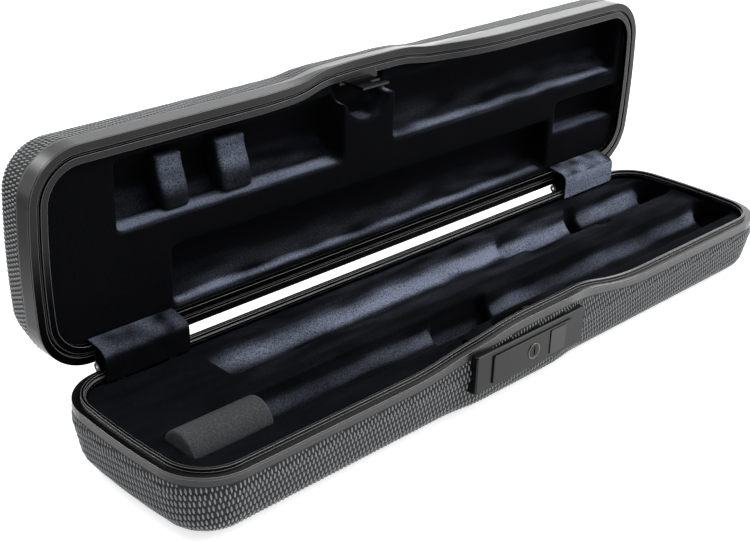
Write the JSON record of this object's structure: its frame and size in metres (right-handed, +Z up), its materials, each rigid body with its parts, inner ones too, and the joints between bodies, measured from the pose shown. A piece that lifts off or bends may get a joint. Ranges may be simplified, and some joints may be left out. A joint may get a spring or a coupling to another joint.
{
  "type": "flute case",
  "caption": "Hard case for a flute, lying open: moulded black trays with a waved parting line, velvet liners, covered hinges and a sliding front latch.",
  "frame": {"origin": "middle of the base's flat underside", "axes": "+X along the case, to the right as seen from the latch side; +Y towards the hinges; +Z up. The lid stands open in the rest pose"},
  "size_m": [0.4216, 0.1469, 0.141],
  "materials": {
    "shell": "black moulded plastic with a fine staggered relief and a smooth band at the rim",
    "trim": "black, semi-gloss",
    "velvet": "short-pile velvet, blue-black",
    "foam": "charcoal foam, fine cells",
    "hinge": "black, satin",
    "latch_plate": "black enamel, satin",
    "latch_panel": "black enamel, satin",
    "steel": "plated",
    "chrome": "polished",
    "badge": "bare, satin"
  },
  "bodies": {
    "base": {"base_shell": "shell", "base_frame": "trim", "base_liner": "velvet", "spacer_foam": "foam", "left_base_leaf": "hinge", "right_base_leaf": "hinge", "left_hinge_pin": "hinge", "right_hinge_pin": "hinge", "base_rivets": "hinge", "left_hinge_flap": "velvet", "right_hinge_flap": "velvet", "latch_plate": "latch_plate", "latch_back_plate": "steel", "latch_screws": "steel"},
    "lid": {"lid_shell": "shell", "lid_frame": "trim", "lid_liner": "velvet", "saddle_pads": "velvet", "left_lid_leaf": "hinge", "right_lid_leaf": "hinge", "lid_rivets": "hinge", "striker": "steel", "striker_rivets": "steel"},
    "slide": {"slide_button": "latch_panel", "slide_hook": "steel", "neck_clip": "steel", "badge_plate": "badge", "lock_bezel": "chrome"},
    "lock": {"lock_core": "chrome", "lock_cam": "steel", "cam_screw": "steel"}
  },
  "joints": [
    {"name": "lid_hinge", "type": "hinge", "parent": "base", "child": "lid", "pos_m": [0, 0.0542, 0.03345], "axis": [1, 0, 0], "range_deg": [0, 90], "deforming": ["left_hinge_flap", "right_hinge_flap"]},
    {"name": "latch_slide", "type": "slide", "parent": "base", "child": "slide", "axis": [-1, 0, 0], "range_m": [0, 0.005]},
    {"name": "lock_turn", "type": "hinge", "parent": "slide", "child": "lock", "pos_m": [-0.012, -0.05, 0.0253], "axis": [0, 1, 0], "range_deg": [0, 90]}
  ]
}
